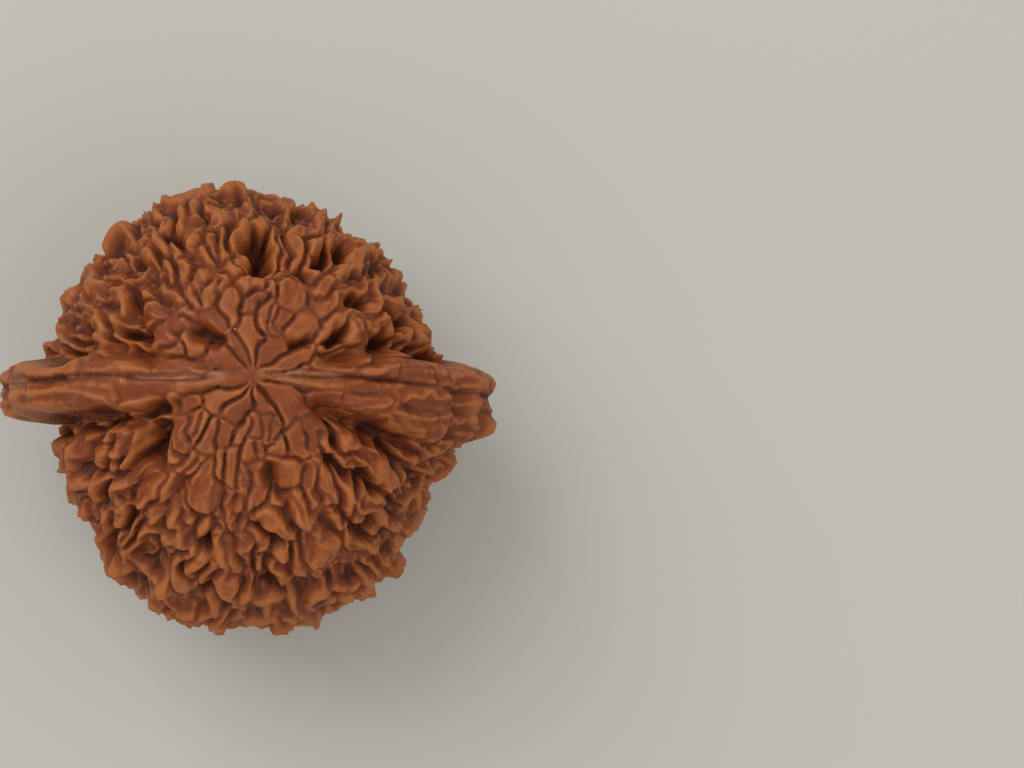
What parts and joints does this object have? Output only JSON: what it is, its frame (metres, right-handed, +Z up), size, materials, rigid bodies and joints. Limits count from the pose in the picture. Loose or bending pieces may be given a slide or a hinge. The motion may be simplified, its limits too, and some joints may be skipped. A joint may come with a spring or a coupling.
{
  "type": "walnut",
  "caption": "Walnut in its shell, standing on its base with the tip up: rough ridged body with a raised flange around the seam.",
  "frame": {"origin": "middle of the nut's box, on the surface it rests on", "axes": "+X along the flange, through its two ends; +Y across the flange, towards the smaller half of the shell; +Z up, towards the tip"},
  "size_m": [0.0458, 0.0414, 0.0381],
  "materials": {
    "shell": "satin, waxy nut shell, darker in the cracks"
  },
  "bodies": {
    "root": {"walnut": "shell"}
  },
  "joints": []
}
